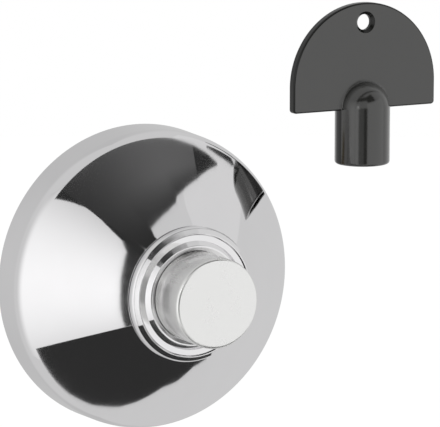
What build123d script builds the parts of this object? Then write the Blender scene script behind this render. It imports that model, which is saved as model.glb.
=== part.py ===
from build123d import *
import os
from math import cos, degrees, radians, sin

# Concealed mixing valve for public washrooms: a brass body that is built into the wall, a mixing
# cartridge, a guide sleeve that carries a bell shaped wall plate, a cap that pulls off the sleeve,
# and the loose socket key that turns the spindle under the cap.
# The finished wall is the plane y = 0 and the valve's axis is the Y axis. The user stands at -Y and
# +Z is up. "Out" is a distance from the wall towards the user, so a place in the wall is negative.
# All sizes are in millimetres.

# Wall plate
plate_radius = 75.0
plate_wall = 1.2
band_height = 19.5
band_draft = 0.8
shoulder_round = 8.0
cone_top = 56.2
rim_seal_height = 3.0
rim_seal_width = 2.4
seal_clearance = 0.15
mouth_clearance = 1.0

# Collar and the bright ring inside it
collar_radius = 32.9
collar_height = 5.5
collar_floor = 2.0
collar_edge_round = 1.8
collar_inner_round = 1.0
collar_back_round = 0.4
collar_wall = 3.2
gasket_height = 0.8
gasket_setback = 0.8
lip_radius = 24.9
lip_rise = 0.8
lip_edge_round = 1.0
lip_inner_round = 0.5
lip_slope = 1.9
ring_seam = 0.3
cap_reveal = 0.65

# Cap
cap_radius = 21.75
cap_wall = 1.75
cap_face_wall = 2.0
cap_front = 85.1
cap_edge_round = 1.6
cap_inner_round = 0.8
cap_fit = 0.05
cap_rest_gap = 0.3
cap_end_room = 1.6

# Guide sleeve
sleeve_radius = 22.0
sleeve_wall = 3.0
key_room = 0.5
bell_wall = 2.95
bell_front = 8.0
bush_seat = 50.5
thread_clearance = 0.05
sleeve_gasket_height = 1.0

# Valve body
neck_radius = 24.5
neck_front = -2.0
neck_length = 7.0
barrel_radius = 29.0
body_back = -50.0
flange_side = 66.0
flange_height = 6.0
fixing_inset = 7.0
fixing_hole_radius = 2.75
port_out = -34.0
port_radius = 13.5
port_reach = 46.0
port_edge_round = 1.0
thread_radius = 9.32
thread_length = 12.0
check_bore_radius = 8.05
check_length = 13.0
check_end_room = 1.0
outlet_bore_radius = 7.0
outlet_bore_end = 20.0
feed_radius = 3.6
feed_spacing = 10.0
channel_radius = 4.5
channel_overrun = 1.0
gallery_depth = 5.3
gallery_length = 5.0
gallery_setback = 2.2
gallery_outlet_radius = 2.4
barrel_edge_round = 1.5
cut_overrun = 1.0

# Cartridge
cavity_radius = 20.2
cavity_floor = -24.0
cavity_clearance = 0.25
nut_thread_radius = 22.0
nut_seat = -8.0
base_height = 4.5
disc_height = 3.0
fixed_disc_radius = 17.0
moving_disc_radius = 16.5
carrier_height = 3.0
carrier_width = 15.0
carrier_radius = 16.3
housing_wall = 2.65
housing_head = 2.3
nose_radius = 16.9
nose_front = 2.0
window_width = 14.0
drive_peg_radius = 1.5
drive_peg_length = 1.5
drive_peg_circle = 11.0
drive_peg_angles = (235, 305)
peg_pad_radius = 3.0
running_gap = 0.2
seal_bead = 0.9
seal_squeeze = 0.05
inlet_seal_width = 1.8
inlet_seal_height = 1.6
nut_head_flats = 36.0
nut_head_height = 5.0
nut_bore_clearance = 0.15

# Spindle, its extension and the angle stop
spindle_neck_radius = 7.55
spindle_fit = 0.05
spindle_radius = 6.0
spindle_front = 14.0
spindle_square = 8.4
square_clearance = 0.1
neck_seal_bead = 0.58
neck_seal_outs = (-6.5, -3.0)
clip_height = 1.0
clip_radius = 9.0
clip_groove_depth = 0.5
clip_opening = 60.0
bush_clip_width = 2.0
bush_clip_bite = 0.8
bush_clip_opening = 30.0
screw_radius = 1.9
screw_clearance = 0.3
screw_head_radius = 3.5
screw_head_height = 3.6
screw_socket_flats = 3.0
screw_socket_depth = 2.0
hub_radius = 8.5
hub_back = 4.8
hub_front = 22.0
rod_radius = 6.0
bush_fit = 0.05
bush_height = 6.0
bush_clearance = 0.1
head_flats = 17.0
head_back = 57.0
head_front = 76.0
head_edge_round = 0.8
turn_limit = 45.0
finger_width = 5.0
finger_bury = 1.5
finger_end = 15.2
finger_height = 2.7
stop_outer_radius = 16.5
stop_inner_radius = 9.8
stop_wall_inner_radius = 11.5
stop_base_height = 2.5
stop_wall_height = 3.4
stop_margin = 0.6

# Non-return valves in the two inlets
check_clearance = 0.05
check_wall = 2.0
check_seat_height = 1.5
check_seat_radius = 4.4
poppet_radius = 5.6
poppet_height = 2.0
poppet_edge_round = 0.65
poppet_lift_gap = 0.3
poppet_stem_radius = 1.4
stem_fit = 0.05
stem_overhang = 0.5
check_web_height = 2.0
check_web_hole_radius = 1.3
check_web_hole_circle = 4.1
check_web_hole_count = 6
spring_radius = 3.0
spring_wire_radius = 0.3
spring_turns = 5
spring_end_gap = 0.15
filter_radius = 8.8
filter_clearance = 0.05
filter_height = 0.8
filter_hole_radius = 0.8
filter_hole_spacing = 2.5
filter_hole_rows = 5

# Plug in the unused outlet
plug_flats = 22.0
plug_head_height = 6.5
plug_thread_clearance = 0.05
plug_end_room = 3.0
plug_socket_flats = 10.0
plug_socket_depth = 5.0
washer_height = 1.5
washer_wall = 3.0

# Key
key_x = 121.1
key_wall_gap = 0.3
key_bow_z = 89.0
bow_radius = 41.4
bow_skirt = 12.5
bow_height = 5.0
bow_corner = 1.8
bow_edge_round = 1.0
ring_hole_radius = 4.0
ring_hole_rise = 31.5
ring_hole_chamfer = 1.5
stem_radius = 14.0
stem_length = 28.0
stem_dome_rise = 0.5
stem_edge_round = 1.5
socket_clearance = 0.15
socket_depth = 23.5

# Sizes that follow from the ones above
band_top_radius = plate_radius - band_draft
rim_inner_radius = plate_radius - plate_wall
fixing_spacing = flange_side - 2 * fixing_inset
collar_back = cone_top + gasket_height
collar_recess_floor = collar_back + collar_floor
collar_front = collar_back + collar_height
collar_recess_radius = collar_radius - collar_wall
lip_front = collar_front + lip_rise
sleeve_shoulder = collar_recess_floor
collar_bore_radius = sleeve_radius + thread_clearance
mouth_radius = collar_bore_radius + mouth_clearance
seat_bore_radius = cap_radius + cap_reveal
cap_inner_radius = cap_radius - cap_wall
cap_back = sleeve_shoulder + cap_rest_gap
cap_inner_front = cap_front - cap_face_wall
sleeve_front = cap_inner_front - cap_end_room
sleeve_nose_radius = cap_inner_radius - cap_fit
sleeve_key_bore = stem_radius + key_room
sleeve_bore_radius = sleeve_radius - sleeve_wall
bell_bore_radius = neck_radius + thread_clearance
bell_radius = bell_bore_radius + bell_wall
neck_back = neck_front - neck_length
sleeve_back = neck_back + sleeve_gasket_height
housing_radius = cavity_radius - cavity_clearance
housing_inner_radius = housing_radius - housing_wall
base_top = cavity_floor + base_height
fixed_disc_top = base_top + disc_height
moving_disc_top = fixed_disc_top + disc_height
carrier_top = moving_disc_top + carrier_height
housing_ceiling = nut_seat - housing_head
spindle_bore_radius = spindle_neck_radius + spindle_fit
nut_bore_radius = nose_radius + nut_bore_clearance
nut_head_back = neck_front
nut_head_front = nut_head_back + nut_head_height
clip_back = nose_front + running_gap
clip_front = clip_back + clip_height
spindle_shoulder = hub_back - 2 * running_gap
clip_groove_radius = spindle_radius - clip_groove_depth
hub_socket_front = spindle_front + running_gap
finger_root = hub_radius - finger_bury
bush_back = bush_seat - bush_height
bush_radius = sleeve_bore_radius - bush_clearance
bush_clip_groove_radius = sleeve_bore_radius + bush_clip_bite
bush_clip_back = bush_back - clip_height - running_gap
thread_end = port_reach - thread_length
filter_seat = thread_end - filter_height
check_outer_end = filter_seat - check_end_room
check_inner_end = check_outer_end - check_length
check_radius = check_bore_radius - check_clearance
check_inner_radius = check_radius - check_wall
poppet_face = check_outer_end - check_seat_height - poppet_lift_gap
poppet_back = poppet_face - poppet_height
plug_end = thread_end + plug_end_room
washer_front = port_reach + washer_height
port_root = port_radius + port_edge_round
channel_end = feed_spacing - feed_radius - channel_overrun
gallery_front = nut_seat - gallery_setback
key_y = -(stem_radius + key_wall_gap)
bow_bottom = key_bow_z - bow_skirt
stem_end = bow_bottom - stem_length
stem_dome = bow_bottom + stem_dome_rise

# Local X is the distance from the valve's axis and local Y is the distance out of the wall.
VALVE = Plane(origin=(0, 0, 0), x_dir=(1, 0, 0), z_dir=(0, 0, -1))
# Sketches on this plane are seen by the user, and extrude towards the user.
FRONT = Plane.XZ
# The key's stem is upright: local X is the distance from its axis and local Y is the world's Z.
STEM = Plane(origin=(key_x, key_y, 0), x_dir=(1, 0, 0), z_dir=(0, -1, 0))
# The ring hole runs through the key's bow: local Y is out of the wall, from the bow's middle.
RING_HOLE = Plane(
    origin=(key_x, key_y, key_bow_z + ring_hole_rise), x_dir=(1, 0, 0), z_dir=(0, 0, -1)
)
COLD_ANGLE = 0
TOP_ANGLE = 90
HOT_ANGLE = 180
BOTTOM_ANGLE = 270
PORT_ANGLES = (COLD_ANGLE, TOP_ANGLE, HOT_ANGLE, BOTTOM_ANGLE)
INLET_ANGLES = {"hot": HOT_ANGLE, "cold": COLD_ANGLE}


def port(angle):
    """Plane of one port: local Y runs outwards along the port, local X is the distance from it."""
    outwards = (cos(radians(angle)), 0, sin(radians(angle)))
    across = (outwards[2], 0, -outwards[0])
    return Plane(origin=(0, -port_out, 0), x_dir=(0, 1, 0), z_dir=across)


def turned(plane, *corners, mode=Mode.ADD):
    """Turn a closed outline about the plane's Y axis.

    A corner is (radius, along) or (radius, along, rounding).
    """
    points = [corner[:2] for corner in corners]
    rounds = [corner[2] if len(corner) == 3 else 0 for corner in corners]
    with BuildSketch(plane) as section:
        with BuildLine():
            FilletPolyline(*points, radius=rounds, close=True)
        make_face()
    revolve(section.sketch, axis=Axis(plane.origin, plane.y_dir), mode=mode)


def tube(plane, inner, outer, start, end, mode=Mode.ADD):
    """Add a plain ring, or a disc where the inner radius is 0, from start to end along local Y."""
    turned(plane, (inner, start), (outer, start), (outer, end), (inner, end), mode=mode)


def hexagon(plane, flats, height, mode=Mode.ADD):
    """Extrude a hexagon, given by the distance across its flats, along the plane's Z axis."""
    with BuildSketch(plane) as section:
        RegularPolygon(flats / 2, 6, major_radius=False)
    extrude(section.sketch, amount=height, mode=mode)


def o_ring(plane, outer, bead, along):
    """Add a round rubber ring whose outside reaches the outer radius."""
    with BuildSketch(plane) as section:
        with Locations((outer - bead, along)):
            Circle(bead)
    revolve(section.sketch, axis=Axis(plane.origin, plane.y_dir))


def seal_groove(plane, outer, bead, along):
    """Cut the square groove for a ring made by o_ring with the same sizes."""
    floor = outer - 2 * bead - seal_squeeze
    tube(plane, floor, outer + bead, along - bead, along + bead, mode=Mode.SUBTRACT)


def cut_gap(middle, half_angle, outer, back, height):
    """Cut a gap about the valve's axis out of a ring of that outer radius.

    The user sees the gap's middle at the angle given, where 90 is up.
    """
    corners = [
        (2 * outer * cos(radians(middle + turn)), 2 * outer * sin(radians(middle + turn)))
        for turn in (-half_angle, half_angle)
    ]
    with BuildSketch(FRONT.offset(back)) as gap:
        with BuildLine():
            Polyline((0, 0), *corners, close=True)
        make_face()
    extrude(gap.sketch, amount=height, mode=Mode.SUBTRACT)


def snap_clip(inner, outer, back, opening):
    """Add a flat C shaped clip about the valve's axis, open towards the bottom."""
    tube(VALVE, inner, outer, back, back + clip_height)
    cut_gap(BOTTOM_ANGLE, opening / 2, outer, back, clip_height)


pieces = {}

# Bell shaped wall plate, one sheet of even thickness with a flat lip under the collar
cone_run = band_top_radius - collar_radius
cone_climb = cone_top - band_height
cone_length = (cone_run**2 + cone_climb**2) ** 0.5
band_inner_top = band_height - plate_wall * (cone_length - cone_run) / cone_climb
lip_inner_turn = collar_radius - plate_wall * (cone_length - cone_run) / cone_climb
with BuildPart() as escutcheon:
    turned(
        VALVE,
        (plate_radius, 0),
        (band_top_radius, band_height, shoulder_round),
        (collar_radius, cone_top),
        (mouth_radius, cone_top),
        (mouth_radius, cone_top - plate_wall),
        (lip_inner_turn, cone_top - plate_wall),
        (band_top_radius - plate_wall, band_inner_top, shoulder_round - plate_wall),
        (rim_inner_radius, 0),
    )
pieces["escutcheon"] = escutcheon

# Soft ring inside the rim that keeps splashed water out of the wall
rim_seal_radius = rim_inner_radius - band_draft * rim_seal_height / band_height - seal_clearance
with BuildPart() as escutcheon_seal:
    tube(VALVE, rim_seal_radius - rim_seal_width, rim_seal_radius, 0, rim_seal_height)
pieces["escutcheon_seal"] = escutcheon_seal

with BuildPart() as collar_gasket:
    tube(VALVE, mouth_radius, collar_radius - gasket_setback, cone_top, collar_back)
pieces["collar_gasket"] = collar_gasket

# Collar: a threaded ring that clamps the plate, with a recess for the bright inner ring
with BuildPart() as collar_ring:
    turned(
        VALVE,
        (collar_bore_radius, collar_back),
        (collar_radius, collar_back, collar_back_round),
        (collar_radius, collar_front, collar_edge_round),
        (collar_recess_radius, collar_front, collar_inner_round),
        (collar_recess_radius, collar_recess_floor),
        (collar_bore_radius, collar_recess_floor),
    )
pieces["collar_ring"] = collar_ring

with BuildPart() as seat_ring:
    turned(
        VALVE,
        (seat_bore_radius, collar_recess_floor),
        (collar_recess_radius - ring_seam, collar_recess_floor),
        (collar_recess_radius - ring_seam, lip_front, lip_edge_round),
        (lip_radius, lip_front, lip_inner_round),
        (seat_bore_radius, lip_front - lip_slope),
    )
pieces["seat_ring"] = seat_ring

# Cap: a smooth cup that pushes over the sleeve and hides the spindle's drive head
with BuildPart() as cover_cap:
    turned(
        VALVE,
        (0, cap_front),
        (cap_radius, cap_front, cap_edge_round),
        (cap_radius, cap_back),
        (cap_inner_radius, cap_back),
        (cap_inner_radius, cap_inner_front, cap_inner_round),
        (0, cap_inner_front),
    )
pieces["cover_cap"] = cover_cap

cap_seal_out = (cap_back + sleeve_front) / 2
cap_seal_radius = cap_inner_radius - cap_fit / 2
with BuildPart() as cap_o_ring:
    o_ring(VALVE, cap_seal_radius, seal_bead, cap_seal_out)
pieces["cap_o_ring"] = cap_o_ring

# Guide sleeve: screws onto the body's neck, takes the collar's thread and guides the key
bush_groove_front = bush_clip_back + clip_height + running_gap / 2
with BuildPart() as guide_sleeve:
    turned(
        VALVE,
        (bell_bore_radius, sleeve_back),
        (bell_radius, sleeve_back),
        (bell_radius, bell_front),
        (sleeve_radius, bell_front + bell_radius - sleeve_radius),
        (sleeve_radius, sleeve_shoulder),
        (sleeve_nose_radius, sleeve_shoulder),
        (sleeve_nose_radius, sleeve_front),
        (sleeve_key_bore, sleeve_front),
        (sleeve_key_bore, bush_seat),
        (sleeve_bore_radius, bush_seat),
        (sleeve_bore_radius, bell_front),
        (bell_bore_radius, bell_front),
    )
    seal_groove(VALVE, cap_seal_radius, seal_bead, cap_seal_out)
    tube(
        VALVE,
        sleeve_bore_radius - cut_overrun,
        bush_clip_groove_radius,
        bush_clip_back - running_gap / 2,
        bush_groove_front,
        mode=Mode.SUBTRACT,
    )
pieces["guide_sleeve"] = guide_sleeve

with BuildPart() as sleeve_gasket:
    tube(VALVE, bell_bore_radius, bell_radius, neck_back, sleeve_back)
pieces["sleeve_gasket"] = sleeve_gasket

# Valve body: a brass barrel with four ports, a square fixing flange and a cartridge cavity
with BuildPart() as valve_body:
    turned(
        VALVE,
        (0, body_back),
        (barrel_radius, body_back),
        (barrel_radius, neck_back, barrel_edge_round),
        (neck_radius, neck_back),
        (neck_radius, neck_front),
        (0, neck_front),
    )
    with BuildSketch(FRONT.offset(body_back)):
        RectangleRounded(flange_side, flange_side, fixing_inset)
    extrude(amount=flange_height)
    for angle in PORT_ANGLES:
        turned(
            port(angle),
            (0, port_root),
            (port_radius, port_root),
            (port_radius, port_reach, port_edge_round),
            (0, port_reach),
        )
    turned(
        VALVE,
        (0, cavity_floor),
        (cavity_radius, cavity_floor),
        (cavity_radius, nut_seat),
        (nut_thread_radius, nut_seat),
        (nut_thread_radius, neck_front),
        (0, neck_front),
        mode=Mode.SUBTRACT,
    )
    tube(
        VALVE,
        cavity_radius - cut_overrun,
        cavity_radius + gallery_depth,
        gallery_front - gallery_length,
        gallery_front,
        mode=Mode.SUBTRACT,
    )
    for angle in (COLD_ANGLE, HOT_ANGLE):
        turned(
            port(angle),
            (0, channel_end),
            (channel_radius, channel_end),
            (channel_radius, check_inner_end),
            (check_bore_radius, check_inner_end),
            (check_bore_radius, filter_seat),
            (filter_radius + filter_clearance, filter_seat),
            (filter_radius + filter_clearance, thread_end),
            (thread_radius, thread_end),
            (thread_radius, port_reach),
            (0, port_reach),
            mode=Mode.SUBTRACT,
        )
    for angle in (TOP_ANGLE, BOTTOM_ANGLE):
        turned(
            port(angle),
            (0, outlet_bore_end),
            (outlet_bore_radius, outlet_bore_end),
            (outlet_bore_radius, thread_end),
            (thread_radius, thread_end),
            (thread_radius, port_reach),
            (0, port_reach),
            mode=Mode.SUBTRACT,
        )
    with BuildSketch(FRONT.offset(cavity_floor)):
        with Locations((feed_spacing, 0), (-feed_spacing, 0)):
            Circle(feed_radius)
    extrude(amount=port_out - cavity_floor, mode=Mode.SUBTRACT)
    gallery_outlet_circle = cavity_radius + gallery_depth / 2
    with BuildSketch(FRONT.offset(gallery_front - gallery_length)):
        with Locations((0, gallery_outlet_circle), (0, -gallery_outlet_circle)):
            Circle(gallery_outlet_radius)
    extrude(amount=port_out - gallery_front + gallery_length, mode=Mode.SUBTRACT)
    with BuildSketch(FRONT.offset(body_back)):
        with GridLocations(fixing_spacing, fixing_spacing, 2, 2):
            Circle(fixing_hole_radius)
    extrude(amount=flange_height, mode=Mode.SUBTRACT)
pieces["valve_body"] = valve_body

# Plug and washer that close the lower outlet
with BuildPart() as outlet_plug:
    tube(port(BOTTOM_ANGLE), 0, thread_radius - plug_thread_clearance, plug_end, washer_front)
    plug_plane = Plane(
        origin=(0, -port_out, -washer_front), x_dir=(1, 0, 0), z_dir=(0, 0, -1)
    )
    hexagon(plug_plane, plug_flats, plug_head_height)
    socket_plane = plug_plane.offset(plug_head_height - plug_socket_depth)
    hexagon(socket_plane, plug_socket_flats, plug_socket_depth, mode=Mode.SUBTRACT)
pieces["outlet_plug"] = outlet_plug

with BuildPart() as plug_washer:
    tube(port(BOTTOM_ANGLE), thread_radius, thread_radius + washer_wall, port_reach, washer_front)
pieces["plug_washer"] = plug_washer

# A filter and a spring loaded non-return valve in each inlet
check_web_front = check_inner_end + check_web_height
spring_back = check_web_front + spring_end_gap + spring_wire_radius
spring_front = poppet_back - spring_end_gap - spring_wire_radius
spring_height = spring_front - spring_back
for side, angle in INLET_ANGLES.items():
    plane = port(angle)
    end_plane = Plane(
        origin=plane.origin + plane.y_dir * check_inner_end, x_dir=(0, 1, 0), z_dir=plane.y_dir
    )
    with BuildPart() as check_housing:
        turned(
            plane,
            (poppet_stem_radius + stem_fit, check_inner_end),
            (check_radius, check_inner_end),
            (check_radius, check_outer_end),
            (check_seat_radius, check_outer_end),
            (check_seat_radius, check_outer_end - check_seat_height),
            (check_inner_radius, check_outer_end - check_seat_height),
            (check_inner_radius, check_web_front),
            (poppet_stem_radius + stem_fit, check_web_front),
        )
        with BuildSketch(end_plane):
            with PolarLocations(check_web_hole_circle, check_web_hole_count):
                Circle(check_web_hole_radius)
        extrude(amount=check_web_height, mode=Mode.SUBTRACT)
    pieces[f"{side}_check_housing"] = check_housing

    with BuildPart() as check_poppet:
        turned(
            plane,
            (0, check_inner_end - stem_overhang),
            (poppet_stem_radius, check_inner_end - stem_overhang),
            (poppet_stem_radius, poppet_back),
            (poppet_radius, poppet_back),
            (poppet_radius, poppet_face, poppet_edge_round),
            (0, poppet_face),
        )
    pieces[f"{side}_check_poppet"] = check_poppet

    spring_start = plane.origin + plane.y_dir * spring_back
    coil_start = spring_start + plane.x_dir * spring_radius
    coil = Helix(
        spring_height / spring_turns,
        spring_height,
        spring_radius,
        center=spring_start,
        direction=plane.y_dir,
    )
    with BuildPart() as check_spring:
        with BuildSketch(Plane(origin=coil @ 0, z_dir=coil % 0)):
            Circle(spring_wire_radius)
        sweep(path=coil, is_frenet=True)
    pieces[f"{side}_check_spring"] = check_spring

    filter_plane = end_plane.offset(filter_seat - check_inner_end)
    with BuildPart() as inlet_filter:
        tube(plane, 0, filter_radius, filter_seat, filter_seat + filter_height)
        with BuildSketch(filter_plane):
            with HexLocations(filter_hole_spacing / 2, filter_hole_rows, filter_hole_rows):
                Circle(filter_hole_radius)
        extrude(amount=filter_height, mode=Mode.SUBTRACT)
    pieces[f"{side}_inlet_filter"] = inlet_filter

spring_gap = spring_height / spring_turns - 2 * spring_wire_radius
print("least gap between the turns of a spring:", round(spring_gap, 3), "mm")

# Cartridge: base, seals, two ceramic discs, carrier, housing and the nut that holds it
feed_places = ((feed_spacing, 0), (-feed_spacing, 0))
with BuildPart() as cartridge_base:
    tube(VALVE, 0, housing_radius, cavity_floor, base_top)
    with BuildSketch(FRONT.offset(cavity_floor)):
        with Locations(*feed_places):
            Circle(feed_radius)
    extrude(amount=base_height, mode=Mode.SUBTRACT)
    with BuildSketch(FRONT.offset(cavity_floor)):
        with Locations(*feed_places):
            Circle(feed_radius + inlet_seal_width)
    extrude(amount=inlet_seal_height, mode=Mode.SUBTRACT)
pieces["cartridge_base"] = cartridge_base

with BuildPart() as inlet_seals:
    with BuildSketch(FRONT.offset(cavity_floor)):
        with Locations(*feed_places):
            Circle(feed_radius + inlet_seal_width - seal_squeeze)
        with Locations(*feed_places):
            Circle(feed_radius + seal_squeeze, mode=Mode.SUBTRACT)
    extrude(amount=inlet_seal_height)
pieces["inlet_seals"] = inlet_seals

with BuildPart() as fixed_disc:
    tube(VALVE, 0, fixed_disc_radius, base_top, fixed_disc_top)
    with BuildSketch(FRONT.offset(base_top)):
        with Locations(*feed_places):
            Circle(feed_radius)
    extrude(amount=disc_height, mode=Mode.SUBTRACT)
pieces["fixed_disc"] = fixed_disc

peg_places = [
    (drive_peg_circle * cos(radians(angle)), drive_peg_circle * sin(radians(angle)))
    for angle in drive_peg_angles
]
with BuildPart() as moving_disc:
    tube(VALVE, 0, moving_disc_radius, fixed_disc_top, moving_disc_top)
    with BuildSketch(FRONT.offset(fixed_disc_top)):
        SlotArc(
            CenterArc((0, 0), feed_spacing, 0, 180, mode=Mode.PRIVATE), 2 * feed_radius
        )
    extrude(amount=disc_height, mode=Mode.SUBTRACT)
    with BuildSketch(FRONT.offset(moving_disc_top)):
        with Locations(*peg_places):
            Circle(drive_peg_radius + square_clearance)
    extrude(amount=-drive_peg_length, mode=Mode.SUBTRACT)
pieces["moving_disc"] = moving_disc

with BuildPart() as disc_carrier:
    with BuildSketch(FRONT.offset(moving_disc_top)):
        Circle(carrier_radius)
        Rectangle(2 * carrier_radius, carrier_width, mode=Mode.INTERSECT)
        with Locations(*peg_places):
            Circle(peg_pad_radius)
    extrude(amount=carrier_height)
    with BuildSketch(FRONT.offset(moving_disc_top)):
        with Locations(*peg_places):
            Circle(drive_peg_radius)
    extrude(amount=-drive_peg_length)
pieces["disc_carrier"] = disc_carrier

housing_seal_out = base_top + 2 * seal_bead + running_gap
housing_seal_radius = cavity_radius - seal_squeeze / 2
with BuildPart() as cartridge_housing:
    turned(
        VALVE,
        (spindle_bore_radius, housing_ceiling),
        (housing_inner_radius, housing_ceiling),
        (housing_inner_radius, base_top),
        (housing_radius, base_top),
        (housing_radius, nut_seat),
        (nose_radius, nut_seat),
        (nose_radius, nose_front),
        (spindle_bore_radius, nose_front),
    )
    seal_groove(VALVE, housing_seal_radius, seal_bead, housing_seal_out)
    with BuildSketch(FRONT.offset(moving_disc_top)):
        Rectangle(window_width, 2 * (housing_radius + cut_overrun))
        Circle(spindle_neck_radius + housing_wall, mode=Mode.SUBTRACT)
    extrude(amount=carrier_height, mode=Mode.SUBTRACT)
pieces["cartridge_housing"] = cartridge_housing

with BuildPart() as cartridge_o_ring:
    o_ring(VALVE, housing_seal_radius, seal_bead, housing_seal_out)
pieces["cartridge_o_ring"] = cartridge_o_ring

with BuildPart() as cartridge_nut:
    tube(VALVE, 0, nut_thread_radius - thread_clearance, nut_seat, nut_head_back)
    hexagon(FRONT.offset(nut_head_back), nut_head_flats, nut_head_height)
    tube(VALVE, 0, nut_bore_radius, nut_seat, nut_head_front, mode=Mode.SUBTRACT)
pieces["cartridge_nut"] = cartridge_nut

# Spindle with its seals and clip
neck_seal_radius = spindle_bore_radius - spindle_fit / 2
with BuildPart() as spindle:
    tube(VALVE, 0, spindle_neck_radius, carrier_top, nose_front - running_gap)
    tube(VALVE, 0, spindle_radius, nose_front - running_gap, spindle_shoulder)
    with BuildSketch(FRONT.offset(spindle_shoulder)):
        Rectangle(spindle_square, spindle_square)
    extrude(amount=spindle_front - spindle_shoulder)
    for out in neck_seal_outs:
        seal_groove(VALVE, neck_seal_radius, neck_seal_bead, out)
    tube(
        VALVE,
        clip_groove_radius,
        spindle_radius + cut_overrun,
        clip_back,
        clip_front,
        mode=Mode.SUBTRACT,
    )
    screw_end = nose_front + running_gap
    tube(VALVE, 0, screw_radius + square_clearance, screw_end, spindle_front, mode=Mode.SUBTRACT)
pieces["spindle"] = spindle

with BuildPart() as spindle_o_rings:
    for out in neck_seal_outs:
        o_ring(VALVE, neck_seal_radius, neck_seal_bead, out)
pieces["spindle_o_rings"] = spindle_o_rings

with BuildPart() as spindle_clip:
    snap_clip(clip_groove_radius, clip_radius, clip_back, clip_opening)
pieces["spindle_clip"] = spindle_clip

# Ring with a raised wall that stops the extension's finger at both ends of the turn
finger_half_angle = degrees(finger_width / 2 / stop_wall_inner_radius) + stop_margin
stop_wall_back = nose_front + stop_base_height
stop_wall_front = stop_wall_back + stop_wall_height
with BuildPart() as stop_ring:
    tube(VALVE, stop_inner_radius, stop_outer_radius, nose_front, stop_wall_back)
    tube(VALVE, stop_wall_inner_radius, stop_outer_radius, stop_wall_back, stop_wall_front)
    cut_gap(
        TOP_ANGLE,
        turn_limit + finger_half_angle,
        stop_outer_radius,
        stop_wall_back,
        stop_wall_height,
    )
pieces["stop_ring"] = stop_ring

# Extension: carries the turn from the drive head down to the spindle
with BuildPart() as spindle_extension:
    tube(VALVE, 0, hub_radius, hub_back, hub_front)
    tube(VALVE, 0, rod_radius, hub_front, head_back)
    hexagon(FRONT.offset(head_back), head_flats, head_front - head_back)
    fillet(spindle_extension.faces().sort_by(Axis.Y)[0].edges(), head_edge_round)
    with BuildSketch(FRONT.offset(hub_back)):
        with Locations((0, (finger_root + finger_end) / 2)):
            Rectangle(finger_width, finger_end - finger_root)
    extrude(amount=finger_height)
    with BuildSketch(FRONT.offset(hub_back)):
        Rectangle(spindle_square + 2 * square_clearance, spindle_square + 2 * square_clearance)
    extrude(amount=hub_socket_front - hub_back, mode=Mode.SUBTRACT)
    tube(VALVE, 0, screw_radius + screw_clearance, hub_back, head_front, mode=Mode.SUBTRACT)
    screw_seat = head_front - screw_head_height - 2 * running_gap
    tube(
        VALVE, 0, screw_head_radius + screw_clearance, screw_seat, head_front, mode=Mode.SUBTRACT
    )
pieces["spindle_extension"] = spindle_extension

with BuildPart() as extension_screw:
    tube(VALVE, 0, screw_radius, screw_end + running_gap, screw_seat)
    tube(VALVE, 0, screw_head_radius, screw_seat, screw_seat + screw_head_height)
    socket_back = screw_seat + screw_head_height - screw_socket_depth
    hexagon(FRONT.offset(socket_back), screw_socket_flats, screw_socket_depth, mode=Mode.SUBTRACT)
pieces["extension_screw"] = extension_screw

with BuildPart() as guide_bush:
    tube(VALVE, rod_radius + bush_fit, bush_radius, bush_back, bush_seat)
pieces["guide_bush"] = guide_bush

with BuildPart() as bush_clip:
    snap_clip(
        sleeve_bore_radius - bush_clip_width,
        bush_clip_groove_radius - seal_squeeze,
        bush_clip_back,
        bush_clip_opening,
    )
pieces["bush_clip"] = bush_clip

# Key: a flat half round bow with a ring hole, and a round stem with a hexagonal socket
with BuildPart() as key:
    with BuildSketch(FRONT.offset(-key_y - bow_height / 2)):
        with BuildLine():
            right_foot = (key_x + bow_radius, bow_bottom)
            left_foot = (key_x - bow_radius, bow_bottom)
            Line(left_foot, right_foot)
            Line(right_foot, (key_x + bow_radius, key_bow_z))
            RadiusArc((key_x + bow_radius, key_bow_z), (key_x, key_bow_z + bow_radius), -bow_radius)
            RadiusArc((key_x, key_bow_z + bow_radius), (key_x - bow_radius, key_bow_z), -bow_radius)
            Line((key_x - bow_radius, key_bow_z), left_foot)
        make_face()
    extrude(amount=bow_height)
    fillet(key.edges().filter_by(Axis.Y).group_by(Axis.Z)[0], bow_corner)
    fillet(key.faces().filter_by(Axis.Y).edges(), bow_edge_round)
    turned(
        RING_HOLE,
        (0, -bow_height / 2),
        (ring_hole_radius + ring_hole_chamfer, -bow_height / 2),
        (ring_hole_radius, ring_hole_chamfer - bow_height / 2),
        (ring_hole_radius, bow_height / 2 - ring_hole_chamfer),
        (ring_hole_radius + ring_hole_chamfer, bow_height / 2),
        (0, bow_height / 2),
        mode=Mode.SUBTRACT,
    )
    turned(
        STEM,
        (0, stem_end),
        (stem_radius, stem_end, stem_edge_round),
        (stem_radius, stem_dome),
        (0, stem_dome),
    )
    with Locations((key_x, key_y, stem_dome)):
        Sphere(stem_radius)
    stem_plane = Plane(origin=(key_x, key_y, stem_end), x_dir=(1, 0, 0), z_dir=(0, 0, 1))
    hexagon(stem_plane, head_flats + 2 * socket_clearance, socket_depth, mode=Mode.SUBTRACT)
pieces["key"] = key

os.makedirs("parts", exist_ok=True)
for name, piece in pieces.items():
    piece.part.label = name
    export_step(piece.part, f"parts/{name}.step")
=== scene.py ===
"""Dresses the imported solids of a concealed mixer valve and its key, and sets up their stage."""

import bpy
import numpy as np
from bpy.props import FloatProperty, FloatVectorProperty, PointerProperty
from mathutils import Matrix, Vector


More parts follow.
